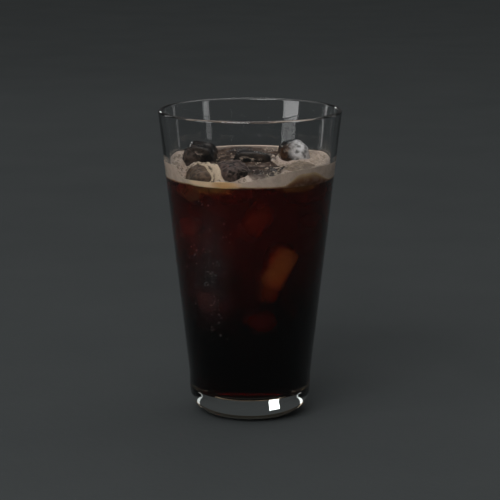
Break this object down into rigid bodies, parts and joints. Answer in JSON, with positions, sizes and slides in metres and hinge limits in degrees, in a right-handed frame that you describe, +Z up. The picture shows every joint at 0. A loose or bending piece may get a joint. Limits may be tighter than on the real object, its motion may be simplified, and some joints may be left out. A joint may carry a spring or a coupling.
{
  "type": "glass of iced espresso",
  "caption": "Conical clear tumbler of iced espresso: near-black red-brown coffee under tan crema, with ice afloat in it.",
  "frame": {"origin": "centre of the foot, in the plane the glass stands on", "axes": "+Z up along the glass's axis; -Y towards the side shown; +X to the right of that side"},
  "size_m": [0.0888, 0.0888, 0.15],
  "materials": {
    "clear_glass": "polished",
    "coffee": "still liquid",
    "crema": "fine foam",
    "ice": "wet and part cloudy"
  },
  "bodies": {
    "root": {"glass": "clear_glass", "coffee": "coffee", "crema": "crema", "ice_left": "ice", "ice_right": "ice", "ice_middle": "ice", "ice_front": "ice", "ice_front_left": "ice", "ice_front_right": "ice"}
  },
  "joints": []
}
